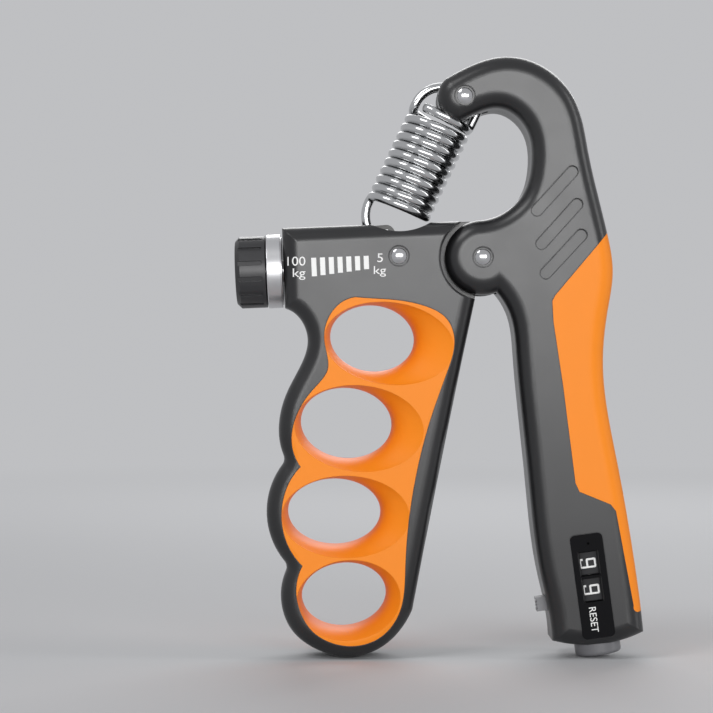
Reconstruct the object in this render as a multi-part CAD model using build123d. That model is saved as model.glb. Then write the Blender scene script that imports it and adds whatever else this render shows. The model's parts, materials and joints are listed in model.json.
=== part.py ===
"""Hand dynamometer: an adjustable grip strengthener with a squeeze counter.

Millimetres. Everything is drawn about the main pivot: +X to the palm handle, +Z up, and the
front, with the scale and the counter, faces -Y. At the end all pieces are moved together, so
that the origin lies under the middle of the whole tool.
"""

import math
import os

from build123d import *

# ---- driving sizes ----
thickness = 22.0  # both handles, front face to back face
palm_round = 4.2  # rounding of the palm handle's outer edges
finger_round = 4.0
notch_round = 2.5  # between the finger bumps
gap = 0.3  # between pieces that move past each other
running = 0.05  # radial clearance of a shaft in its bore

# main pivot
cheek_r = 9.6  # round ends of the palm handle's two cheeks
socket_r = 10.8  # hollow in the finger handle that they turn in
socket_chamfer = 0.45
tongue_half = 3.85  # half the thickness of the tongue between the cheeks
tongue_r = 9.1
pivot_shank_r = 1.7
pivot_bush_r = 3.0
rivet_head_r = 2.05
rivet_head_rise = 0.6
countersink_r = 2.6
countersink_depth = 0.5

# housing and adjusting screw
housing_end_x = -51.3  # the face that the collar sits on
screw_tilt = 2.3  # degrees that the screw's axis drops towards the knob
screw_r = 2.9
screw_pitch = 1.0
travel = 13.25  # of the carriage, from the lowest force to the highest
end_wall = 1.7
ring_r = 4.4  # retaining ring behind the end wall
ring_thick = 0.8
nut_long = 7.4
nut_half = 5.5  # half the height of the nut block
nut_half_wide = 6.5
bush_long = 3.3
bush_r = 3.8
slot_half = 3.7  # half the width of the slot along the housing's top
dish_r, dish_right, dish_low = 14.7, 0.7, 6.6  # hollow in the housing's top below the coil
slot_floor = 1.7  # height of the slot's floor over the pivot
ear_thick = 1.9
ear_left = 6.9  # how far the ears reach past the anchor pin, away from the pivot
ear_back = 3.1  # from the nut's back up to the anchor pin, towards the pivot
anchor_r = 1.1
ear_r = 2.3
housing_rivet_shank_r = 1.5
rivet_room = 2.6  # from the tail bush's end to the housing rivet's middle

# knob and collar
collar_r = 9.5
collar_long = 3.9
collar_step = 0.3  # narrow foot of the collar that leaves a dark line
knob_r = 9.25
knob_long = 7.8
knob_dome = 1.2
flute_count = 14
flute_width = 1.2
flute_deep = 0.45
flute_land = 1.4  # plain band that is left beside the collar

# spring
wire = 2.4
coil_r = 7.45  # mean radius of the turns
coil_pitch = 2.5
coil_turns = 10
upper_turns = 3
middle_turns = 2
waist_turns = 2
rivet_shank_r = 1.2  # of the rivet that holds the upper loop
spring_bush_r = 1.9
hook_slot_half = 1.7
hook_slot_room = 1.0  # round the upper loop, for its swing

# finger holes: centre x, centre z, half length, half height, tilt, scoop towards the palm side
finger_holes = [
    (-28.2, -20.6, 10.85, 8.55, -7.0, 9.5),
    (-34.9, -42.5, 11.75, 9.10, -5.0, 7.8),
    (-38.0, -65.3, 11.95, 8.60, 0.0, 7.1),
    (-35.5, -86.7, 10.90, 8.40, 7.0, 3.5),
]
scoop_left = 1.2  # how far a scoop's rim stands outside the waist on its other sides
scoop_top = 1.0
scoop_bottom = 2.6
core_half = 4.5  # half the thickness of the hard core inside the soft pad
core_margin = 1.5  # soft layer between the core and the fingers

# palm grip and grooves
grip_skin = 2.0  # thickness of the soft grip
groove_width = 3.0
groove_deep = 0.8
grooves = [
    ((13.75, 11.9), (22.7, 21.7)),
    ((14.9, 3.4), (23.9, 13.4)),
    ((16.0, -4.1), (25.0, 5.6)),
]

# counter
counter_tilt = 7.7  # degrees that the counter leans from upright
plate_x, plate_z = 27.8, -83.7  # middle of the counter's plate
plate_wide, plate_long, plate_thick = 8.3, 26.6, 0.9
plate_corner = 1.3
window_wide, window_long = 5.3, 6.3
tens_at, units_at = -5.85, 0.9  # middle of each wheel, down the counter from the plate's middle
wheel_r = 8.0
wheel_wide = 6.0
shaft_r = 1.2
frame_wall = 1.0
frame_top, frame_bottom = -9.4, 6.0  # inner faces of the frame's two plates
lever_travel = 2.4
lever_tip, lever_back = 14.4, 11.0  # ends of the lever's outer block, across the counter
lever_low, lever_high = 1.7, 5.3
lever_half = 2.1
reset_r = 5.9
reset_end = 18.2
reset_travel = 1.2
reset_flange_r = 6.9
reset_flange = 1.2
foot_wall = 14.4  # inner face of the wall that the reset knob comes through

half = thickness / 2
wheel_axis_y = -half + plate_thick + wheel_r  # the wheels turn right behind the plate


# ---- drawing helpers ----
def solid_between(outline, near, far):
    """A flat outline in the X-Z plane, thick from y = near to y = far."""
    return extrude(Plane.XZ.offset(-far) * outline, amount=far - near)


def round_bar(x, z, radius, near, far):
    return solid_between(Pos(x, z) * Circle(radius), near, far)


def both_faces(maker):
    """What maker gives for the front face, and its mirror image on the back."""
    front = maker()
    return front + mirror(front, Plane.XZ)


# ---- finger handle ----
def finger_outline():
    face = make_face(
        [
            Line((housing_end_x, 7.56), (-3.0, 9.4)),
            Line((-3.0, 9.4), (-1.7, -9.8)),
            ThreePointArc((-1.7, -9.8), (-10.1, -50.0), (-17.9, -90.0)),
            Spline((-17.9, -90.0), (-20.5, -94.6), (-25.4, -99.4), (-33.4, -102.1),
                   (-42.2, -100.3), (-48.6, -95.5), (-51.5, -87.8), (-49.6, -78.8)),
            ThreePointArc((-49.6, -78.8), (-55.2, -65.6), (-50.3, -51.8)),
            Spline((-50.3, -51.8), (-52.1, -43.5), (-50.2, -34.9), (-46.7, -28.0),
                   (-44.7, -21.0), (-46.2, -16.3), (housing_end_x + 0.8, -12.9)),
            Line((housing_end_x + 0.8, -12.9), (housing_end_x, 7.56)),
        ]
    )
    notches = [v for v in face.vertices() if v.X < -45 and -80 < v.Y < -50]
    return fillet(notches, notch_round)


def pad_outline():
    return make_face(
        [
            Spline((-32.5, -10.2), (-23.7, -10.8), (-14.7, -12.5), (-9.2, -15.8),
                   (-7.3, -21.0), (-9.0, -28.8), (-13.5, -41.6), (-17.9, -60.1),
                   (-19.8, -79.2), (-21.3, -90.5), (-26.2, -96.8), (-35.1, -98.9),
                   (-43.8, -94.8), (-47.4, -86.8), (-45.9, -78.6)),
            Spline((-45.9, -78.6), (-50.6, -70.6), (-50.4, -60.1), (-46.4, -53.4)),
            Spline((-46.4, -53.4), (-48.4, -43.5), (-43.4, -33.9), (-39.5, -28.6),
                   (-40.4, -20.8), (-38.0, -13.4), (-32.5, -10.2)),
        ]
    )


def finger_body():
    """The whole handle's outer form, before it is split and hollowed."""
    block = solid_between(finger_outline(), -half, half)
    rims = [e for e in block.edges()
            if abs(abs(e.center().Y) - half) < 0.01 and e.center().X < -5.0]
    block = fillet(rims, finger_round)
    hollow = both_faces(lambda: chamfer(
        round_bar(0, 0, socket_r + socket_chamfer, -half - 1, -half + socket_chamfer)
        .faces().sort_by(Axis.Y)[-1].edges(), socket_chamfer - 0.001)
        + round_bar(0, 0, socket_r, -half - 1, -tongue_half))
    tongue = round_bar(0, 0, tongue_r, -tongue_half, tongue_half)
    return block - hollow + tongue


def scoop(hole):
    """The hourglass that one finger goes through: narrow at mid depth, wide at both faces."""
    x, z, a, b, tilt, right = hole
    sections = []
    for y, share in ((-half - 0.4, 1.1), (-8.2, 0.42), (-core_half, 0.06), (0, 0.0),
                     (core_half, 0.06), (8.2, 0.42), (half + 0.4, 1.1)):
        wide = a + share * (right + scoop_left) / 2
        high = b + share * (scoop_top + scoop_bottom) / 2
        shift_x = share * (right - scoop_left) / 2
        shift_z = share * (scoop_top - scoop_bottom) / 2
        oval = Pos(x, z) * Rot(0, 0, tilt) * Pos(shift_x, shift_z) * Ellipse(wide, high)
        sections.append(Plane.XZ.offset(-y) * oval)
    return loft(sections)


def pad_and_space():
    """The soft pad, and the room that it takes out of the hard handle."""
    core = solid_between(pad_outline(), -core_half, core_half)
    for x, z, a, b, tilt, right in finger_holes:
        oval = Pos(x, z) * Rot(0, 0, tilt) * Ellipse(a + core_margin, b + core_margin)
        core -= solid_between(oval, -core_half, core_half)
    space = solid_between(pad_outline(), -half, half) - core
    return space


# ---- adjusting screw, in a frame of its own: +Z points out along the screw to the knob ----
tilt_rad = math.radians(screw_tilt)
screw_drop = 1.15  # how far the screw's axis passes below the pivot
screw_axis = Plane(
    origin=(housing_end_x, 0, -screw_drop + housing_end_x * math.tan(tilt_rad)),
    x_dir=(0, 1, 0),
    z_dir=(-math.cos(tilt_rad), 0, -math.sin(tilt_rad)),
)
ring_at = -end_wall - 0.15 - ring_thick  # inner face of the retaining ring
nut_front = ring_at - gap - travel  # the nut's face towards the knob, at rest
nut_back = nut_front - nut_long
bush_front = nut_back - gap - 0.1
bush_back = bush_front - bush_long


def turned(radius, start, end):
    """A cylinder about the screw's axis, from start to end along it."""
    return screw_axis * Pos(0, 0, (start + end) / 2) * Cylinder(radius, end - start)


def screw_block(half_y, half_z, start, end):
    return screw_axis * Pos(0, 0, (start + end) / 2) * Box(2 * half_y, 2 * half_z, end - start)


anchor_x, anchor_z = housing_end_x - nut_back + ear_back, 6.3
# middle of the round that the spring's lower loop is bent from
lower_eye = (anchor_x + 2.6, anchor_z + 5.3)
loop_leg = coil_r + wire / 2
slot_right = lower_eye[0] + loop_leg + 1.1
slot_left = min(lower_eye[0] - loop_leg, anchor_x - ear_left) - travel - 2 * gap


def carriage_room():
    """Everything that the screw, the nut and the spring's lower loop need in the housing."""
    room = screw_block(nut_half_wide + gap, nut_half + gap, bush_front + 0.05, -end_wall)
    room += turned(screw_r + gap, -end_wall - 1, 1)
    room += turned(bush_r, bush_back, bush_front + 0.1)
    slot = Pos((slot_left + slot_right) / 2, 0, slot_floor + 5) * Box(
        slot_right - slot_left, 2 * slot_half, 10
    )
    return room + slot


def carriage():
    block = screw_block(nut_half_wide, nut_half, nut_back, nut_front)
    left = anchor_x - ear_left
    face = Polyline((left, 1.0), (left, 6.6), (left + 1.5, 8.1), (anchor_x, anchor_z + ear_r),
                    (anchor_x, anchor_z - ear_r), (anchor_x - 3.8, 3.6), (anchor_x - 4.0, 1.0),
                    close=True)
    cheek = make_face(face) + Pos(anchor_x, anchor_z) * Circle(ear_r)
    ears = both_faces(lambda: solid_between(cheek, -wire / 2 - gap - ear_thick, -wire / 2 - gap))
    ears -= round_bar(anchor_x, anchor_z, anchor_r, -half, half)
    return block + ears - turned(screw_r + running, nut_back - 1, nut_front + 1)


def knob():
    start = collar_long + gap
    end = start + knob_long
    body = turned(knob_r, start, end)
    body = chamfer(body.edges().filter_by(GeomType.CIRCLE).sort_by(Axis.X)[0], knob_dome)
    body = fillet(body.edges().filter_by(GeomType.CIRCLE).sort_by(Axis.X)[:1], 0.5)
    for n in range(flute_count):
        flute = Pos(0, knob_r, 0) * (
            Pos(0, 0, (start + flute_land + end + 1) / 2)
            * Box(flute_width, 2 * flute_deep, end + 1 - start - flute_land)
            + Pos(0, 0, start + flute_land) * Rot(90, 0, 0) * Cylinder(flute_width / 2, 2 * flute_deep)
        )
        body -= screw_axis * Rot(0, 0, 360 * n / flute_count) * flute
    return body - turned(screw_r, start - 1, start + 5)


def collar():
    ring = turned(collar_r, collar_step, collar_long) + turned(collar_r - 0.7, 0, collar_step)
    ring = fillet(ring.edges().filter_by(GeomType.CIRCLE).sort_by(Axis.X)[0], 0.25)
    return ring - turned(screw_r + gap, -1, collar_long + 1)


# ---- rivets ----
def rivet(x, z, shank_r, reach=half):
    """A shank through both faces with a low domed head at each end."""
    dome_r = (rivet_head_r**2 + rivet_head_rise**2) / (2 * rivet_head_rise)
    head_floor = -(reach - countersink_depth)
    ball = Pos(x, head_floor + dome_r - rivet_head_rise, z) * Sphere(dome_r)
    cap = ball & round_bar(x, z, rivet_head_r, head_floor - rivet_head_rise - 0.1, head_floor)
    return round_bar(x, z, shank_r, head_floor, -head_floor) + cap + mirror(cap, Plane.XZ)


def countersinks(x, z):
    return both_faces(lambda: round_bar(x, z, countersink_r, -half - 1, -half + countersink_depth))


# ---- spring ----
spring_x, spring_z = -4.62, 41.13  # the rivet that the upper loop hangs on
upper_eye = (-9.9, 37.0)  # middle of the round that the upper loop is bent from
lean = math.atan2(upper_eye[0] - lower_eye[0], upper_eye[1] - lower_eye[1])
coil_length = coil_pitch * coil_turns
middle_of_coil = ((upper_eye[0] + lower_eye[0]) / 2, (upper_eye[1] + lower_eye[1]) / 2)
coil_axis = Plane(
    origin=(middle_of_coil[0], 0, middle_of_coil[1]),
    x_dir=(math.cos(lean), 0, -math.sin(lean)),
    z_dir=(math.sin(lean), 0, math.cos(lean)),
)


def turns(first, last):
    """The coil's close turns between two counts, which start at its lower end."""
    path = Helix(coil_pitch, coil_pitch * (last - first), coil_r)
    start = Plane(origin=path @ 0, x_dir=(1, 0, 0), z_dir=path % 0)
    section = start * RegularPolygon(wire / 2, 6, major_radius=False, rotation=30)
    place = Pos(0, 0, first * coil_pitch - coil_length / 2) * Rot(0, 0, 360 * first)
    return place * sweep(section, path, is_frenet=True)


def drawn_out(pin, eye, pin_r):
    """How far a loop is drawn out past its round, until the wire lies on its pin."""
    return max(0.5, math.dist(pin, eye) + pin_r + gap + wire / 2 - coil_r)


def loop(pin, eye, reach, coil_end):
    """The bent-up end of the wire round its pin, in the coil's own frame."""
    pin = coil_axis.to_local_coords(Vector(pin[0], 0, pin[1]))
    eye = coil_axis.to_local_coords(Vector(eye[0], 0, eye[1]))
    towards = (pin - eye).normalized()
    side = Vector(1, 0, 0) * coil_r
    far = eye + towards * reach
    across = Vector(abs(towards.Z), 0, -towards.X * math.copysign(1, towards.Z)) * coil_r
    foot = Vector(0, 0, coil_end - math.copysign(wire / 2 - 0.05, coil_end) - eye.Z)
    path = Wire([
        Line(eye + side + foot, eye + side),
        Line(eye + side, far + across),
        ThreePointArc(far + across, far + towards * coil_r, far - across),
        Line(far - across, eye - side),
    ])
    start = Plane(origin=path @ 0, x_dir=(0, 1, 0), z_dir=path % 0)
    section = start * RegularPolygon(wire / 2, 6, major_radius=False)
    return sweep(section, path, transition=Transition.ROUND)


upper_reach = drawn_out((spring_x, spring_z), upper_eye, spring_bush_r)
lower_reach = drawn_out((anchor_x, anchor_z), lower_eye, anchor_r)

# the last turn stops beside the leg of its loop
leg_share = math.asin((wire / 2 + 0.03) / coil_r) / (2 * math.pi)


def spring_upper():
    hook = loop((spring_x, spring_z), upper_eye, upper_reach, coil_length / 2)
    coil = turns(coil_turns - upper_turns, coil_turns - leg_share)
    return coil_axis * Compound([coil, hook])


def spring_middle():
    return coil_axis * turns(coil_turns - upper_turns - middle_turns, coil_turns - upper_turns)


def spring_waist():
    last = coil_turns - upper_turns - middle_turns
    return coil_axis * turns(last - waist_turns, last)


def spring_lower():
    hook = loop((anchor_x, anchor_z), lower_eye, lower_reach, -coil_length / 2)
    coil = turns(leg_share, coil_turns - upper_turns - middle_turns - waist_turns)
    return coil_axis * Compound([coil, hook])


# ---- palm handle ----
def palm_outline():
    return make_face(
        [
            ThreePointArc((-9.2, 45.9), (-11.4, 40.0), (-5.6, 34.8)),
            Spline((-5.6, 34.8), (-1.95, 36.7), (4.3, 38.2), (10.8, 33.7), (12.6, 24.5),
                   (10.0, 15.6), (4.8, 11.1), (-1.0, 9.54)),
            ThreePointArc((-1.0, 9.54), (-cheek_r, 0.3), (3.65, -8.87)),
            Spline((3.65, -8.87), (7.2, -15.0), (8.6, -24.6), (11.7, -56.0), (15.0, -81.7),
                   (16.9, -90.0), (17.9, -98.0)),
            Spline((17.9, -98.0), (24.0, -99.0), (34.2, -98.2), (41.2, -95.6)),
            Spline((41.2, -95.6), (39.2, -79.5), (34.5, -52.1), (30.9, -27.0), (32.2, -13.0),
                   (33.4, -4.0), (31.9, 6.6), (27.0, 27.7), (23.6, 40.5), (15.2, 49.1),
                   (5.4, 51.4), (-4.0, 48.7), (-9.2, 45.9)),
        ]
    )


def grip_outline():
    return make_face(
        [
            Polyline((50, -88.9), (50, 11.2), (36, 11.2), (18.4, -9.7), (17.6, -11.2),
                     (17.9, -16.5), (20.3, -32.4), (23.5, -57.5), (24.5, -59.7), (32.4, -62.9),
                     (33.8, -64.6), (38.35, -88.7)),
            ThreePointArc((38.35, -88.7), (39.5, -90.4), (40.9, -88.9)),
            Line((40.9, -88.9), (50, -88.9)),
        ]
    )


def palm_body():
    block = solid_between(palm_outline(), -half, half)
    rims = [e for e in block.edges() if abs(abs(e.center().Y) - half) < 0.01]
    return fillet(rims, palm_round)


def groove(ends):
    (x0, z0), (x1, z1) = ends
    long = math.hypot(x1 - x0, z1 - z0) + groove_width
    turn = math.degrees(math.atan2(z1 - z0, x1 - x0))
    shape = Pos((x0 + x1) / 2, (z0 + z1) / 2) * Rot(0, 0, turn) * SlotOverall(long, groove_width)
    return both_faces(lambda: solid_between(shape, -half - 1, -half + groove_deep))


def hook_slot():
    """The slot in the hook's end that the spring's upper loop swings in."""
    share = upper_reach / math.dist(upper_eye, (spring_x, spring_z))
    x = upper_eye[0] + share * (spring_x - upper_eye[0])
    z = upper_eye[1] + share * (spring_z - upper_eye[1])
    return round_bar(x, z, loop_leg + hook_slot_room, -hook_slot_half, hook_slot_half)


# ---- counter, in a frame of its own: +X to the finger handle, +Z down the wheels' axis ----
counter_rad = math.radians(counter_tilt)
counter_axis = Plane(
    origin=(plate_x, 0, plate_z),
    x_dir=(-math.cos(counter_rad), 0, -math.sin(counter_rad)),
    z_dir=(math.sin(counter_rad), 0, -math.cos(counter_rad)),
)


def block(x0, x1, y0, y1, z0, z1):
    """A box between two corners in the counter's frame, where +Y is towards the back."""
    middle = Pos((x0 + x1) / 2, (y0 + y1) / 2, (z0 + z1) / 2)
    return middle * Box(x1 - x0, y1 - y0, z1 - z0)


def disc(radius, z0, z1, y=None):
    return Pos(0, wheel_axis_y if y is None else y, (z0 + z1) / 2) * Cylinder(radius, z1 - z0)


def plate():
    body = block(-plate_wide / 2, plate_wide / 2, -half, -half + plate_thick,
                 -plate_long / 2, plate_long / 2)
    body = fillet(body.edges().filter_by(Axis.Y), plate_corner)
    for at in (tens_at, units_at):
        body -= block(-window_wide / 2, window_wide / 2, -half - 1, -half + plate_thick + 1,
                      at - window_long / 2, at + window_long / 2)
    return body


def plate_pocket():
    body = block(-plate_wide / 2, plate_wide / 2, -half - 1, -half + plate_thick,
                 -plate_long / 2, plate_long / 2)
    return fillet(body.edges().filter_by(Axis.Y), plate_corner)


frame_back = wheel_axis_y + wheel_r + gap


def frame():
    """A C-shaped chassis with a plate at each end of the wheels."""
    top = block(-5, 5, wheel_axis_y - 4, frame_back, frame_top - frame_wall, frame_top)
    bottom = block(-5, 5, wheel_axis_y - 4, frame_back, frame_bottom, frame_bottom + frame_wall)
    back = block(-5, 5, frame_back, frame_back + frame_wall,
                 frame_top - frame_wall, frame_bottom + frame_wall)
    seat = block(1.6, 1.6 + frame_wall, wheel_axis_y - 1.5, wheel_axis_y + 1.5, 4.3, frame_bottom)
    return top + bottom + back + seat - disc(shaft_r + running, frame_top - 2, frame_bottom + 2)


def counter_room():
    room = disc(wheel_r + gap, frame_top, units_at + wheel_wide / 2 + gap)
    room += block(-5.05, 5.05, wheel_axis_y - 4.05, frame_back + frame_wall + 0.05,
                  frame_top - frame_wall - 0.05, frame_bottom + frame_wall + 0.05)
    room += disc(shaft_r + gap, frame_top - 3, foot_wall)
    room += disc(reset_flange_r + gap, frame_bottom + frame_wall, foot_wall)
    room += disc(reset_r + gap, foot_wall - 1, reset_end + 4)
    room += block(5, lever_tip + 4, wheel_axis_y - lever_half - gap, wheel_axis_y + lever_half + gap,
                  lever_low - gap, lever_high + gap)
    return room


def wheel(at):
    body = disc(wheel_r, at - wheel_wide / 2, at + wheel_wide / 2)
    body = chamfer(body.edges().filter_by(GeomType.CIRCLE), 0.25)
    return body - disc(shaft_r + running, at - wheel_wide, at + wheel_wide)


def lever():
    tip = block(lever_back, lever_tip, wheel_axis_y - lever_half, wheel_axis_y + lever_half,
                lever_low, lever_high)
    stem = block(7.4, lever_back, wheel_axis_y - 1.5, wheel_axis_y + 1.5, 4.3, lever_high)
    for n in range(3):
        groove_at = lever_low + 0.9 + n * 0.9
        tip -= block(lever_tip - 0.3, lever_tip + 1, -half, half, groove_at - 0.2, groove_at + 0.2)
    return tip + stem


def lever_spring():
    at = Pos(5.0, wheel_axis_y, 4.85) * Rot(0, 90, 0)
    return at * (Cylinder(0.5, 4.6) - Cylinder(0.3, 4.6))


def reset_knob():
    body = disc(reset_r, foot_wall - 1.4, reset_end)
    body = fillet(body.edges().filter_by(GeomType.CIRCLE).sort_by(Axis.Z)[-1], 0.9)
    flange_low = foot_wall - gap - reset_flange
    body += disc(reset_flange_r, flange_low, foot_wall - gap)
    return body - disc(shaft_r + running, 0, foot_wall + 2.0)


def reset_shaft():
    return disc(shaft_r, frame_top - 2.2, foot_wall + 0.2)


def reset_spring():
    top, low = frame_bottom + frame_wall + 0.1, foot_wall - gap - reset_flange - 0.1
    return disc(2.4, top, low) - disc(1.7, top, low)


# ---- pieces ----
def shells(body):
    """The front and the rear half of a handle."""
    spread = 2 * body.bounding_box().diagonal
    rear = Pos(0, thickness / 2, 0) * Box(spread, thickness, spread)
    return body - rear, body & rear


housing_rivet_at = (housing_end_x - bush_back + rivet_room, 0.3)
pivot_at = (0, 0)
spring_rivet_at = (spring_x, spring_z)

finger = finger_body()
pad_space = pad_and_space()
pad = finger & pad_space
finger = finger - pad_space - carriage_room() - countersinks(*housing_rivet_at)
finger -= round_bar(lower_eye[0] + dish_right, dish_low + dish_r, dish_r, -half - 1, half + 1)
finger -= round_bar(*housing_rivet_at, housing_rivet_shank_r, -half, half)
finger -= round_bar(*pivot_at, pivot_bush_r, -half, half)
for hole in finger_holes:
    passage = scoop(hole)
    pad -= passage

palm = palm_body()
palm -= round_bar(*pivot_at, cheek_r + gap, -tongue_half - gap, tongue_half + gap)
palm -= hook_slot()
palm -= round_bar(*pivot_at, pivot_shank_r, -half, half) + countersinks(*pivot_at)
palm -= round_bar(*spring_rivet_at, rivet_shank_r, -half, half) + countersinks(*spring_rivet_at)
for ends in grooves:
    palm -= groove(ends)
palm -= counter_axis * counter_room()
palm -= counter_axis * plate_pocket()
grip_zone = solid_between(grip_outline(), -half, half)
inner = solid_between(Pos(-grip_skin, 0) * palm_outline(), -half + grip_skin, half - grip_skin)
grip = (palm & grip_zone) - inner
palm -= grip_zone - inner

finger_front, finger_rear = shells(finger)
palm_front, palm_rear = shells(palm)

pieces = {
    "finger_shell_front": finger_front,
    "finger_shell_rear": finger_rear,
    "finger_pad": pad,
    "chrome_collar": collar(),
    "adjust_knob": knob(),
    "lead_screw": turned(screw_r, bush_back + 0.2, collar_long + gap + 5),
    "retaining_ring": turned(ring_r, ring_at, ring_at + ring_thick)
    - turned(screw_r, ring_at - 1, ring_at + 2),
    "tail_bush": turned(bush_r, bush_back, bush_front)
    - turned(screw_r + running, bush_back + 0.15, bush_front + 1),
    "carriage_nut": carriage(),
    "anchor_pin": round_bar(anchor_x, anchor_z, anchor_r, -slot_half + 0.2, slot_half - 0.2),
    "housing_rivet": rivet(*housing_rivet_at, housing_rivet_shank_r),
    "pivot_bush": round_bar(*pivot_at, pivot_bush_r, -tongue_half, tongue_half)
    - round_bar(*pivot_at, pivot_shank_r + running, -half, half),
    "pivot_rivet": rivet(*pivot_at, pivot_shank_r),
    "spring_rivet": rivet(*spring_rivet_at, rivet_shank_r),
    "spring_bush": round_bar(*spring_rivet_at, spring_bush_r, -hook_slot_half + 0.1, hook_slot_half - 0.1)
    - round_bar(*spring_rivet_at, rivet_shank_r + running, -half, half),
    "spring_upper": spring_upper(),
    "spring_middle": spring_middle(),
    "spring_waist": spring_waist(),
    "spring_lower": spring_lower(),
    "palm_shell_front": palm_front,
    "palm_shell_rear": palm_rear,
    "palm_grip": grip,
    "counter_plate": counter_axis * plate(),
    "counter_frame": counter_axis * frame(),
    "tens_wheel": counter_axis * wheel(tens_at),
    "units_wheel": counter_axis * wheel(units_at),
    "count_lever": counter_axis * lever(),
    "lever_spring": counter_axis * lever_spring(),
    "reset_shaft": counter_axis * reset_shaft(),
    "reset_spring": counter_axis * reset_spring(),
    "reset_knob": counter_axis * reset_knob(),
}

# ---- the origin goes under the middle of the whole tool ----
whole = Compound([piece for piece in pieces.values()]).bounding_box(optimal=True)
lift = Pos(-(whole.min.X + whole.max.X) / 2, 0, -whole.min.Z)
os.makedirs("parts", exist_ok=True)
for name, piece in pieces.items():
    export_step(lift * piece, f"parts/{name}.step")

print("size", whole.size)
print("main pivot at", (lift * Pos(0, 0, 0)).position)
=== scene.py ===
"""Looks of the hand dynamometer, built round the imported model."""

import json
import math

import bmesh
import bpy
from mathutils import Matrix, Vector


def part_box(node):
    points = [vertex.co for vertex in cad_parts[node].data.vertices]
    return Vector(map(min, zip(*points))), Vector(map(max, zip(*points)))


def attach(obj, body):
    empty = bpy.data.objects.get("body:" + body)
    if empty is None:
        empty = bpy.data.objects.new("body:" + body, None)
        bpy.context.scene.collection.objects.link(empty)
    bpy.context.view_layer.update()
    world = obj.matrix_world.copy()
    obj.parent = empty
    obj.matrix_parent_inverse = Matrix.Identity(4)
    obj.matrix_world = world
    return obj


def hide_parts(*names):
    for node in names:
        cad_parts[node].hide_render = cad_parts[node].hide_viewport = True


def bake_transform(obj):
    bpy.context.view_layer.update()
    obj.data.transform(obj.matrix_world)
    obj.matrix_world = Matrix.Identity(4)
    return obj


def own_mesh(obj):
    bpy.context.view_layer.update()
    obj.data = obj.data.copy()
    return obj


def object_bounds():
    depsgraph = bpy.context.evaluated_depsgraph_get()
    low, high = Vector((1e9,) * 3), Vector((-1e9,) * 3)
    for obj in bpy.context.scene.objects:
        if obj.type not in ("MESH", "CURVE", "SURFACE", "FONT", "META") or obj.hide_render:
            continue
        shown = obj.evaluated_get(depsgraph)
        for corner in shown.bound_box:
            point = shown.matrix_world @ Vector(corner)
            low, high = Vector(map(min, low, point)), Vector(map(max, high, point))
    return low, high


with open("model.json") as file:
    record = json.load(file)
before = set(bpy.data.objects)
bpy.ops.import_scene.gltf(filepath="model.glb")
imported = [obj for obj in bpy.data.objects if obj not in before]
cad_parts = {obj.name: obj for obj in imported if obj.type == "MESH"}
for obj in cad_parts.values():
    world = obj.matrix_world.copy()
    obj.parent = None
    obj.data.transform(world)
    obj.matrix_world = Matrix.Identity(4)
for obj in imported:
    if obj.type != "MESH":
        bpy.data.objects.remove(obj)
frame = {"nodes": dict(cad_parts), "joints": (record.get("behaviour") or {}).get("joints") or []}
nodes = frame["nodes"]
joints = {joint["name"]: joint for joint in frame["joints"]}
cad_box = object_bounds()
scene = bpy.context.scene
mm = 0.001
pivot = Vector(joints["grip"]["pos_m"])  # middle of the main pivot, which both handles turn on

# ---- camera ----
# It looks straight at the tool's front, level, from 60 cm away, through a long lens.
distance = 606.0  # mm, from the tool's middle plane
aim_right, aim_up = -32.2, -25.3  # mm, from the main pivot
camera_data = bpy.data.cameras.new("camera")
camera_data.sensor_width = 36.0
camera_data.lens = 118.15
camera = bpy.data.objects.new("camera", camera_data)
camera.location = pivot + Vector((aim_right, -distance, aim_up)) * mm
camera.rotation_euler = (math.radians(90), 0, 0)
scene.collection.objects.link(camera)
scene.camera = camera

# ---- studio ----
# A wide soft panel stands behind the camera and gives the flat faces their even sheen.
# A key light from the upper left, a strip at the right, a fill from behind and the pale
# room round the table do the rest.
scene.view_settings.view_transform = "Standard"
room_colour = (0.52, 0.525, 0.54)
room_light = 0.40  # share of the room's brightness that falls on things


def area_light(name, place, width, height, power):
    """A soft panel that faces the tool. Metres and watts."""
    data = bpy.data.lights.new(name, "AREA")
    data.shape = "RECTANGLE"
    data.size, data.size_y = width, height
    data.energy = power
    light = bpy.data.objects.new(name, data)
    light.location = place
    aim = (cad_box[0] + cad_box[1]) / 2 - Vector(place)
    light.rotation_euler = aim.to_track_quat("-Z", "Y").to_euler()
    light.visible_camera = False
    scene.collection.objects.link(light)


area_light("front_panel", (0.10, -1.15, 0.26), 1.05, 0.36, 8.5)
area_light("key", (-0.50, -0.45, 0.80), 0.4, 0.4, 2.0)
area_light("right_strip", (0.62, -0.10, 0.25), 0.15, 0.6, 0.8)
area_light("back_fill", (0.15, 0.80, 0.55), 0.7, 0.5, 3.5)

world = bpy.data.worlds.new("studio")
world.use_nodes = True
scene.world = world


def seen_directly(tree):
    """1 where a camera, mirror or glass ray arrives, 0 for the light on the object."""
    path = tree.nodes.new("ShaderNodeLightPath")
    either = tree.nodes.new("ShaderNodeMath")
    either.operation = "MAXIMUM"
    tree.links.new(path.outputs["Is Camera Ray"], either.inputs[0])
    tree.links.new(path.outputs["Is Glossy Ray"], either.inputs[1])
    any_of = tree.nodes.new("ShaderNodeMath")
    any_of.operation = "MAXIMUM"
    tree.links.new(either.outputs[0], any_of.inputs[0])
    tree.links.new(path.outputs["Is Transmission Ray"], any_of.inputs[1])
    return any_of.outputs[0]


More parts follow.
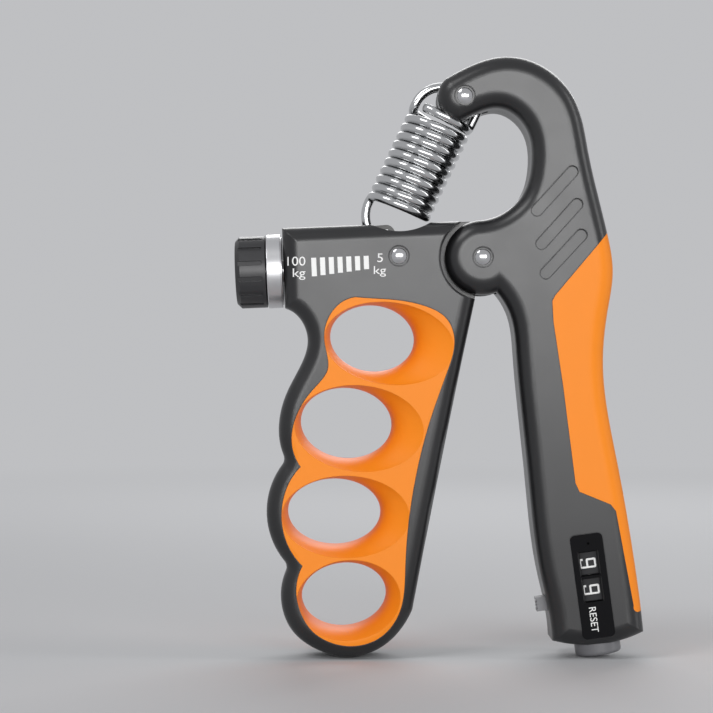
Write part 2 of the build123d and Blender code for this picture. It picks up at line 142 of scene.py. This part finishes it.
strength = world.node_tree.nodes.new("ShaderNodeMapRange")
strength.inputs["To Min"].default_value = room_light
strength.inputs["To Max"].default_value = 1.0
room = world.node_tree.nodes["Background"]
room.inputs["Color"].default_value = (*room_colour, 1)
world.node_tree.links.new(seen_directly(world.node_tree), strength.inputs["Value"])
world.node_tree.links.new(strength.outputs["Result"], room.inputs["Strength"])

# ---- table ----
# A plain pale table top, matt so that no lamp glares off it. It fades into the room well
# behind the tool.
table_r, table_drop = 4.0, 0.0002  # metres
fade_start, fade_end = 0.12, 1.1  # metres from the middle
table_mesh = bpy.data.meshes.new("table")
work = bmesh.new()
bmesh.ops.create_circle(work, cap_ends=True, radius=table_r, segments=64)
work.to_mesh(table_mesh)
work.free()
table = bpy.data.objects.new("table", table_mesh)
table.location.z = -table_drop
scene.collection.objects.link(table)
paint = bpy.data.materials.new("table_paint")
paint.use_nodes = True
make, join = paint.node_tree.nodes.new, paint.node_tree.links.new
near = paint.node_tree.nodes["Principled BSDF"]
near.inputs["Base Color"].default_value = (0.64, 0.645, 0.66, 1)
near.inputs["Roughness"].default_value = 0.7
near.inputs["Specular IOR Level"].default_value = 0.1
far = make("ShaderNodeEmission")
far.inputs["Color"].default_value = (*room_colour, 1)
spot = make("ShaderNodeTexCoord")
reach = make("ShaderNodeVectorMath")
reach.operation = "LENGTH"
join(spot.outputs["Object"], reach.inputs[0])
fade = make("ShaderNodeMapRange")
fade.interpolation_type = "SMOOTHSTEP"
fade.inputs["From Min"].default_value = fade_start
fade.inputs["From Max"].default_value = fade_end
join(reach.outputs["Value"], fade.inputs["Value"])
both = make("ShaderNodeMath")
both.operation = "MULTIPLY"
join(fade.outputs["Result"], both.inputs[0])
join(seen_directly(paint.node_tree), both.inputs[1])
mixed = make("ShaderNodeMixShader")
join(both.outputs[0], mixed.inputs["Fac"])
join(near.outputs["BSDF"], mixed.inputs[1])
join(far.outputs["Emission"], mixed.inputs[2])
join(mixed.outputs["Shader"], paint.node_tree.nodes["Material Output"].inputs["Surface"])
table_mesh.materials.append(paint)


# ---- handle shells ----
# Four half shells of satin black glass-filled nylon, moulded with a fine spark-eroded
# grain, close in pairs round the mechanism and are held by the rivets.
def surface_skin():
    """Node group: a base colour and roughness with slow clouding, and the height of a grain."""
    group = bpy.data.node_groups.new("surface_skin", "ShaderNodeTree")
    for way, labels in (
        ("INPUT", ("Color", "Roughness", "Grain", "Variation")),
        ("OUTPUT", ("Color", "Roughness", "Height")),
    ):
        for label in labels:
            kind = "NodeSocketColor" if label == "Color" else "NodeSocketFloat"
            group.interface.new_socket(name=label, in_out=way, socket_type=kind)
    make, join = group.nodes.new, group.links.new
    given, result = make("NodeGroupInput"), make("NodeGroupOutput")
    place = make("ShaderNodeTexCoord")
    grain, cloud = make("ShaderNodeTexNoise"), make("ShaderNodeTexNoise")
    grain.inputs["Detail"].default_value = 2.0
    cloud.inputs["Scale"].default_value = 90.0
    cloud.inputs["Detail"].default_value = 4.0
    join(place.outputs["Object"], grain.inputs["Vector"])
    join(place.outputs["Object"], cloud.inputs["Vector"])
    join(given.outputs["Grain"], grain.inputs["Scale"])

    def sum_of(kind, a, b):
        step = make("ShaderNodeMath")
        step.operation = kind
        for socket, value in zip(step.inputs, (a, b)):
            if isinstance(value, float):
                socket.default_value = value
            else:
                join(value, socket)
        return step.outputs[0]

    centred = sum_of("SUBTRACT", cloud.outputs["Fac"], 0.5)
    swing = sum_of("MULTIPLY", centred, given.outputs["Variation"])
    tint = make("ShaderNodeVectorMath")
    tint.operation = "SCALE"
    join(given.outputs["Color"], tint.inputs[0])
    join(sum_of("ADD", swing, 1.0), tint.inputs["Scale"])
    join(tint.outputs[0], result.inputs["Color"])
    join(sum_of("ADD", swing, given.outputs["Roughness"]), result.inputs["Roughness"])
    join(grain.outputs["Fac"], result.inputs["Height"])
    return group


skin_group = surface_skin()


def surfaced(name, colour, roughness, grain, variation, depth, edge=0.0, **more):
    """A material with the surface skin. Depth of its grain and rounding of its edges in mm."""
    material = bpy.data.materials.new(name)
    material.use_nodes = True
    make, join = material.node_tree.nodes.new, material.node_tree.links.new
    shader = material.node_tree.nodes["Principled BSDF"]
    skin = make("ShaderNodeGroup")
    skin.node_tree = skin_group
    skin.inputs["Color"].default_value = (*colour, 1)
    skin.inputs["Roughness"].default_value = roughness
    skin.inputs["Grain"].default_value = grain
    skin.inputs["Variation"].default_value = variation
    bump = make("ShaderNodeBump")
    bump.inputs["Distance"].default_value = depth * mm
    if edge:
        rounded = make("ShaderNodeBevel")
        rounded.samples = 4
        rounded.inputs["Radius"].default_value = edge * mm
        join(rounded.outputs["Normal"], bump.inputs["Normal"])
    join(skin.outputs["Color"], shader.inputs["Base Color"])
    join(skin.outputs["Roughness"], shader.inputs["Roughness"])
    join(skin.outputs["Height"], bump.inputs["Height"])
    join(bump.outputs["Normal"], shader.inputs["Normal"])
    for label, value in more.items():
        shader.inputs[label].default_value = value
    return material


def dress(material, *names):
    """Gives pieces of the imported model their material."""
    for name in names:
        nodes[name].data.materials.clear()
        nodes[name].data.materials.append(material)


nylon = surfaced("black_nylon", (0.013, 0.013, 0.014), 0.31, 5200.0, 0.10, 0.004, edge=0.40,
                 IOR=1.56)
dress(nylon, "finger_shell_front", "finger_shell_rear", "palm_shell_front", "palm_shell_rear")

# ---- finger pad and palm grip ----
# Orange thermoplastic rubber, moulded over the shells. It has a dull, slightly waxy skin,
# and the pad flares from each finger hole to both faces.
rubber = surfaced("orange_rubber", (0.94, 0.262, 0.008), 0.5, 3600.0, 0.05, 0.008, edge=0.25,
                  **{"Specular IOR Level": 0.32})
dress(rubber, "finger_pad", "palm_grip")

# ---- force scale ----
# White pad print on the housing: bars that get shorter from 100 kg, at the knob, to 5 kg.
# It is a film of paint on the front face, leans with the housing and bends round its end.
white = surfaced("white_print", (0.86, 0.86, 0.85), 0.5, 8000.0, 0.04, 0.001)
film = 0.03  # thickness of the paint
same_point = 1e-5  # corners of the letters closer than this are one
face_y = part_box("finger_shell_front")[0].y / mm  # front faces of both handles
scale_tilt = math.radians(2.3)


def mesh_of(curve):
    """The solid shape of a curve or of letters."""
    holder = bpy.data.objects.new(curve.name, curve)
    scene.collection.objects.link(holder)
    bpy.context.view_layer.update()
    shaped = holder.evaluated_get(bpy.context.evaluated_depsgraph_get())
    mesh = bpy.data.meshes.new_from_object(shaped)
    bpy.data.objects.remove(holder)
    return mesh


def flat_text(body):
    """The letters as a mesh, flat in X and Y, one film thick."""
    curve = bpy.data.curves.new("letters", "FONT")
    curve.body = body
    curve.extrude = film / 2
    curve.resolution_u = 6
    return mesh_of(curve)


def add_text(work, body, frame_matrix, left, right, low, high):
    """Puts letters into a mesh under work, stretched to fill a box of the given frame."""
    letters = bmesh.new()
    letters.from_mesh(flat_text(body))
    bmesh.ops.remove_doubles(letters, verts=letters.verts, dist=same_point)
    xs = [v.co.x for v in letters.verts]
    ys = [v.co.y for v in letters.verts]
    wide, tall = (right - left) / (max(xs) - min(xs)), (high - low) / (max(ys) - min(ys))
    fit = Matrix.Translation((left, low, 0)) @ Matrix.Diagonal((wide, tall, 1, 1))
    fit = frame_matrix @ fit @ Matrix.Translation((-min(xs), -min(ys), 0))
    bmesh.ops.transform(letters, matrix=fit, verts=letters.verts)
    piece = bpy.data.meshes.new("letters")
    letters.to_mesh(piece)
    letters.free()
    work.from_mesh(piece)


def finished(name, work, material, body, slot, *stands_for):
    """Makes the piece: its mesh in metres, its material and its body. The slot is not used."""
    bmesh.ops.recalc_face_normals(work, faces=work.faces)
    bmesh.ops.scale(work, vec=(mm, mm, mm), verts=work.verts)
    mesh = bpy.data.meshes.new(name)
    work.to_mesh(mesh)
    work.free()
    mesh.materials.append(material)
    piece = bpy.data.objects.new(name, mesh)
    scene.collection.objects.link(piece)
    if stands_for:
        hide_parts(*stands_for)
    if body:
        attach(piece, body)
    return piece


# the print's frame: X to the right along the housing, Y up, Z out of the front face
on_front = Matrix.Translation(pivot / mm) @ Matrix.Translation((0, face_y - film / 2, 0))
on_front = on_front @ Matrix.Rotation(math.radians(90), 4, "X")
bar_count, bar_wide = 7, 1.28
first_bar, last_bar = (-43.0, -0.18, -4.9), (-29.7, 0.3, -3.1)  # middle, top and bottom
work = bmesh.new()
for n in range(bar_count):
    share = n / (bar_count - 1)
    middle, top, bottom = (a + (b - a) * share for a, b in zip(first_bar, last_bar))
    bar = bmesh.ops.create_cube(work, size=1.0)["verts"]
    lean = Matrix.Rotation(scale_tilt, 4, "Z")
    place = Matrix.Translation((middle, (top + bottom) / 2, 0)) @ lean
    place = place @ Matrix.Diagonal((bar_wide, top - bottom, film, 1))
    bmesh.ops.transform(work, matrix=on_front @ place, verts=bar)
for body, left, right, low, high in (
    ("100", -49.8, -45.2, -2.2, 0.1),
    ("kg", -48.4, -45.2, -5.8, -2.9),
    ("5", -26.9, -25.5, -1.3, 0.9),
    ("kg", -27.8, -24.7, -5.0, -2.3),
):
    add_text(work, body, on_front, left, right, low, high)
# the print follows the rounded edge at the housing's end
housing_end, end_round = -51.3, 4.0  # from the pivot, and the edge's radius
corner_start = pivot.x / mm + housing_end + end_round
for vertex in work.verts:
    past = corner_start - vertex.co.x
    if past > 0:
        vertex.co.y += end_round - math.sqrt(end_round ** 2 - past ** 2)
finished("force_scale", work, white, "finger_handle", None)

# ---- rivets ----
# Turned steel rivets with low polished domes, set in shallow countersinks. Two bushes carry
# the handles and the spring on them.
polished = surfaced("polished_steel", (0.60, 0.60, 0.61), 0.13, 3000.0, 0.1, 0.0008, Metallic=1.0)
steel = surfaced("plain_steel", (0.56, 0.56, 0.57), 0.30, 4000.0, 0.2, 0.002, Metallic=1.0)
brass = surfaced("machined_brass", (0.78, 0.57, 0.28), 0.28, 4000.0, 0.2, 0.002, Metallic=1.0)
dress(polished, "housing_rivet", "pivot_rivet", "spring_rivet")
dress(steel, "spring_bush")
dress(brass, "pivot_bush")

# ---- adjusting screw ----
# A turned steel screw runs in a brass bush and a ring. It draws the blackened nut, whose
# ears hold the spring's lower loop on a pin, along the housing.
blackened = surfaced("blackened_brass", (0.014, 0.013, 0.012), 0.38, 4000.0, 0.2, 0.002, edge=0.15)
dress(steel, "lead_screw", "retaining_ring", "anchor_pin")
dress(brass, "tail_bush")
dress(blackened, "carriage_nut")

# ---- knob and collar ----
# The knob is satin black plastic with milled flutes. It turns against a satin
# chrome-plated collar pressed on the housing's end.
satin_chrome = surfaced("satin_chrome", (0.70, 0.70, 0.71), 0.30, 3000.0, 0.08, 0.0006, edge=0.12,
                        Metallic=1.0)
knob_black = surfaced("knob_black", (0.022, 0.022, 0.024), 0.38, 5200.0, 0.1, 0.002, edge=0.2,
                      IOR=1.56)
dress(satin_chrome, "chrome_collar")
dress(knob_black, "adjust_knob")

# ---- spring ----
# Chromed spring wire, wound close in ten turns. Its ends are bent up into loops: the upper
# one hangs on the rivet in the hook, the lower one holds the pin between the nut's ears.
chrome = surfaced("bright_chrome", (0.60, 0.605, 0.61), 0.14, 3000.0, 0.04, 0.0004, Metallic=1.0)
wire_r, coil_r, pitch = 1.2, 7.45, 2.46
corner_r, corner_turn = 1.8, 90  # of the bends between the coil and a loop's legs
coil_lean = math.radians(25.47)
coil_middle = (-15.95, 0, 24.3)  # from the pivot
coil_frame = Matrix.Translation(pivot / mm) @ Matrix.Translation(coil_middle)
coil_frame = coil_frame @ Matrix.Rotation(coil_lean, 4, "Y")  # Z goes up the coil's axis
AHEAD, SIDE, UP = Vector((1, 0, 0)), Vector((0, 1, 0)), Vector((0, 0, 1))


class Bender:
    """Feeds and bends a round wire, as a spring winder does."""

    def __init__(self, at, heading, radius=wire_r, segments=16):
        self.work = bmesh.new()
        self.at, self.heading = Vector(at), Vector(heading).normalized()
        turn = self.heading.to_track_quat("Z", "Y").to_matrix().to_4x4()
        place = Matrix.Translation(self.at) @ turn
        ring = bmesh.ops.create_circle(self.work, cap_ends=True, radius=radius, segments=segments,
                                       matrix=place)
        self.ring = list({e for v in ring["verts"] for e in v.link_edges})

    def bend(self, axis, radius, degrees, steps, drop=0.0):
        """Round a centre beside the wire; drop moves it along the axis meanwhile."""
        axis = Vector(axis).normalized()
        centre = self.at + axis.cross(self.heading) * radius
        angle = math.radians(degrees)
        made = bmesh.ops.spin(self.work, geom=self.ring, cent=centre, axis=axis, angle=angle,
                              steps=steps, dvec=axis * drop / steps)["geom_last"]
        self.ring = [e for e in made if isinstance(e, bmesh.types.BMEdge)]
        turn = Matrix.Rotation(angle, 3, axis)
        self.at = centre + turn @ (self.at - centre) + axis * drop
        self.heading = turn @ self.heading

    def feed(self, length):
        """Straight on."""
        made = bmesh.ops.spin(self.work, geom=self.ring, cent=self.at, axis=SIDE, angle=0.0,
                              steps=1, dvec=self.heading * length)["geom_last"]
        self.ring = [e for e in made if isinstance(e, bmesh.types.BMEdge)]
        self.at += self.heading * length

    def cut(self, place=coil_frame):
        """Ends the wire, and puts it in its place in the tool."""
        bmesh.ops.edgeloop_fill(self.work, edges=self.ring)
        bmesh.ops.transform(self.work, matrix=place, verts=self.work.verts)
        for face in self.work.faces:
            face.smooth = True
        return self.work


def round_coil(degrees, height, backwards=False):
    """Where the wire is on the coil, and where it heads."""
    a = math.radians(degrees)
    tangent = Vector((-math.sin(a), math.cos(a), 0)) * (-1 if backwards else 1)
    return (coil_r * math.cos(a), coil_r * math.sin(a), height), tangent


def wind(wire, degrees, step=12):
    """Down the coil, turn on turn."""
    wire.bend(-UP, coil_r, degrees, round(degrees / step), drop=pitch * degrees / 360)


# The wire's free end lies on the coil for a third of a turn. Then the wire rises, goes over
# the rivet and comes down into the first turn. It is in two pieces, which meet at the back.
free_end, free_high, free_turn = -130, 13.5, 116
coil_start = 166  # degrees round the coil
upper_wound, lower_wound = 5 * 360 + 76, 4 * 360 + 256
upper = Bender(*round_coil(free_end, free_high))
upper.bend(UP, coil_r, free_turn, 12, drop=-0.4)
upper.bend(upper.heading.cross(UP), corner_r, corner_turn, 6)
upper.feed(4.1)
upper.bend(-SIDE, 4.3, 114.7, 14)
upper.feed(5.35)
upper.bend(-SIDE, 7.5, 65.3, 8)
upper.feed(0.2)
into_coil = round_coil(coil_start, 0, backwards=True)[1]
upper.bend((-UP).cross(into_coil), corner_r, corner_turn, 6)
wind(upper, upper_wound)
upper_end = upper.at.copy(), upper.heading.copy()
wire_upper = finished("spring_wire_upper", upper.cut(), chrome, None, "bright_chrome",
                      "spring_upper", "spring_middle")
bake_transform(wire_upper)

# From the last turn the wire drops into the housing and hooks round the pin.
lower = Bender(*upper_end)
wind(lower, lower_wound)
lower.bend(lower.heading.cross(-UP), corner_r, corner_turn, 6)
for radius, degrees in ((8.25, 84), (3.6, 85)):
    lower.bend(-SIDE, radius, degrees, 12)
wire_lower = finished("spring_wire_lower", lower.cut(), chrome, None, "bright_chrome",
                      "spring_waist", "spring_lower")
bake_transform(wire_lower)

# ---- counter ----
# Two number wheels turn on the reset shaft in a folded steel frame behind a matt black
# plate. The digits are printed white round their rims, with their tops to the right.
counter_tilt = math.radians(7.7)
plate_middle = pivot / mm + Vector((27.8, 0, -83.7))
shown, digit_step = 9, math.radians(36)
down = Vector((math.sin(counter_tilt), 0, -math.cos(counter_tilt)))
outward = Vector((0, -1, 0))
across = outward.cross(down)  # to the right, which is up for a reader of the digits
plate_black = surfaced("plate_black", (0.007, 0.007, 0.008), 0.7, 4000.0, 0.1, 0.001,
                       **{"Specular IOR Level": 0.06})
wheel_black = surfaced("wheel_black", (0.020, 0.020, 0.022), 0.6, 5000.0, 0.1, 0.003,
                       **{"Specular IOR Level": 0.3})
dress(steel, "counter_frame", "reset_shaft")
dress(plate_black, "counter_plate")
dress(wheel_black, "tens_wheel", "units_wheel")

digit_wide, digit_tall, stroke = 2.0, 3.85, 0.58  # between the middles of the strokes
digit_shift = -0.35  # the digits sit a little left of the wheel's foremost line
digit_round = 0.45  # of a stroke's corners, at most
strokes = {
    0: [[(0.5, 0), (0, 0), (0, 1), (1, 1), (1, 0), (0.5, 0)]],
    1: [[(0.25, 0.8), (0.6, 1), (0.6, 0)]],
    2: [[(0, 0.85), (0, 1), (1, 1), (1, 0.5), (0, 0.5), (0, 0), (1, 0)]],
    3: [[(0, 0.9), (0, 1), (1, 1), (1, 0), (0, 0), (0, 0.1)], [(0.3, 0.5), (1, 0.5)]],
    4: [[(0, 1), (0, 0.45), (1, 0.45)], [(1, 1), (1, 0)]],
    5: [[(1, 1), (0, 1), (0, 0.52), (1, 0.52), (1, 0), (0, 0), (0, 0.12)]],
    6: [[(1, 0.88), (1, 1), (0, 1), (0, 0), (1, 0), (1, 0.52), (0, 0.52)]],
    7: [[(0, 0.88), (0, 1), (1, 1), (0.45, 0)]],
    8: [[(0.5, 0.5), (0, 0.5), (0, 1), (1, 1), (1, 0), (0, 0), (0, 0.5)], [(0.5, 0.5), (1, 0.5)]],
    9: [[(1, 0.46), (0, 0.46), (0, 1), (1, 1), (1, 0), (0, 0), (0, 0.2)]],
}


def digit(number):
    """One digit, flat in X and Y round its middle, made of strokes with rounded corners."""
    curve = bpy.data.curves.new("digit", "CURVE")
    curve.dimensions = "3D"
    curve.bevel_depth = stroke / 2
    curve.bevel_resolution = 1
    curve.resolution_u = 3
    curve.use_fill_caps = True
    for corners in strokes[number]:
        spots = [Vector(((x - 0.5) * digit_wide, (y - 0.5) * digit_tall, 0)) for x, y in corners]
        line = [spots[0]]
        for a, b in zip(spots, spots[1:]):
            pull = min(digit_round, (b - a).length / 2)
            step = (b - a).normalized() * pull
            line += [a + step, b - step, b]
        spline = curve.splines.new("NURBS")
        spline.points.add(len(line) - 1)
        for point, spot in zip(spline.points, line):
            point.co = (*spot, 1)
        spline.order_u = 3
        spline.use_endpoint_u = True
    return mesh_of(curve)


def digit_ring(node, body, name):
    """The ten digits round a wheel, with one of them in the window."""
    low, high = (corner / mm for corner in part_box(node))
    middle = (low + high) / 2
    radius = (high.y - low.y) / 2
    work = bmesh.new()
    for number in range(10):
        work_digit = bmesh.new()
        work_digit.from_mesh(digit(number))
        start = digit_step * (shown - number)
        for vertex in work_digit.verts:
            x, y, z = vertex.co
            angle = start + (y + digit_shift) / radius
            out = outward * math.cos(angle) + across * math.sin(angle)
            vertex.co = middle + down * x + out * (radius + z * 2 * film / stroke)
        piece = bpy.data.meshes.new("digit")
        work_digit.to_mesh(piece)
        work_digit.free()
        work.from_mesh(piece)
    finished(name, work, white, body, None)


digit_ring("tens_wheel", "tens", "tens_digits")
digit_ring("units_wheel", "units", "units_digits")

# ---- counter plate's print ----
# RESET is printed in white down the plate, at the reset knob's end. A small dark pip above
# the windows marks where the plate is staked to the frame.
reset_box = (5.3, 11.7, -1.7, 0.1)  # down the plate and across it, from its middle
pip_r, pip_flat, pip_at = 0.32, 0.15, (-10.9, 0.35, 0)
on_plate = Matrix((
    (down.x, across.x, outward.x, plate_middle.x),
    (down.y, across.y, outward.y, face_y - film / 2),
    (down.z, across.z, outward.z, plate_middle.z),
    (0, 0, 0, 1),
))
work = bmesh.new()
add_text(work, "RESET", on_plate, *reset_box)
finished("reset_word", work, white, "palm_handle", None)
work = bmesh.new()
bmesh.ops.create_uvsphere(work, u_segments=16, v_segments=8, radius=pip_r)
bmesh.ops.scale(work, vec=(1, 1, pip_flat), verts=work.verts)
bmesh.ops.transform(work, matrix=on_plate @ Matrix.Translation(pip_at), verts=work.verts)
pip_dark = surfaced("pip_dark", (0.002, 0.002, 0.002), 0.9, 4000.0, 0.1, 0.001,
                    **{"Specular IOR Level": 0.0})
finished("plate_pip", work, pip_dark, "palm_handle", "plate_black")

# ---- count lever ----
# A small grey acetal slide in the palm handle's inner side. The finger handle presses its
# ridged tip at each squeeze, and a light spring brings it back.
acetal = surfaced("grey_acetal", (0.20, 0.20, 0.21), 0.40, 5000.0, 0.1, 0.003, edge=0.12)
dress(acetal, "count_lever")

# ---- reset knob ----
# A grey satin button under the handle's foot. Pushed in, it takes the wheels along, and
# turning it brings them back to zero.
satin_grey = surfaced("satin_grey", (0.16, 0.16, 0.17), 0.34, 5000.0, 0.1, 0.003, edge=0.12)
dress(satin_grey, "reset_knob")

# ---- return springs ----
# Two small steel compression springs: one between the frame and the reset knob's flange,
# one between the frame's seat and the count lever. Their end turns lie flat.
counter_frame = Matrix((
    (-across.x, 0, down.x, plate_middle.x),
    (-across.y, 1, down.y, plate_middle.y),
    (-across.z, 0, down.z, plate_middle.z),
    (0, 0, 0, 1),
))


def return_spring(node, name, along, turns, wire, steps=20, end_rise=0.05):
    """A coil in place of a CAD sleeve, from its fixed end along its axis."""
    inside = [counter_frame.inverted() @ (v.co / mm) for v in nodes[node].data.vertices]
    low = Vector([min(p[k] for p in inside) for k in range(3)])
    high = Vector([max(p[k] for p in inside) for k in range(3)])
    length = (high - low).dot(along)
    radius = (high.y - low.y) / 2 - wire
    middle = (low + high) / 2
    base = middle - along * (length / 2 - wire)
    turned = along.to_track_quat("Z", "Y").to_matrix().to_4x4()
    place = counter_frame @ Matrix.Translation(base) @ turned
    rise = length - 2 * wire - 2 * end_rise
    coil = Bender((radius, 0, 0), (0, 1, 0), wire, 8)
    coil.bend(UP, radius, 360, steps, drop=end_rise)
    coil.bend(UP, radius, 360 * turns, steps * turns, drop=rise)
    coil.bend(UP, radius, 360, steps, drop=end_rise)
    piece = finished(name, coil.cut(place), steel, "palm_handle", "plain_steel", node)
    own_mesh(piece)


return_spring("reset_spring", "reset_return_spring", UP, 4, 0.32)
return_spring("lever_spring", "lever_return_spring", AHEAD, 6, 0.11)
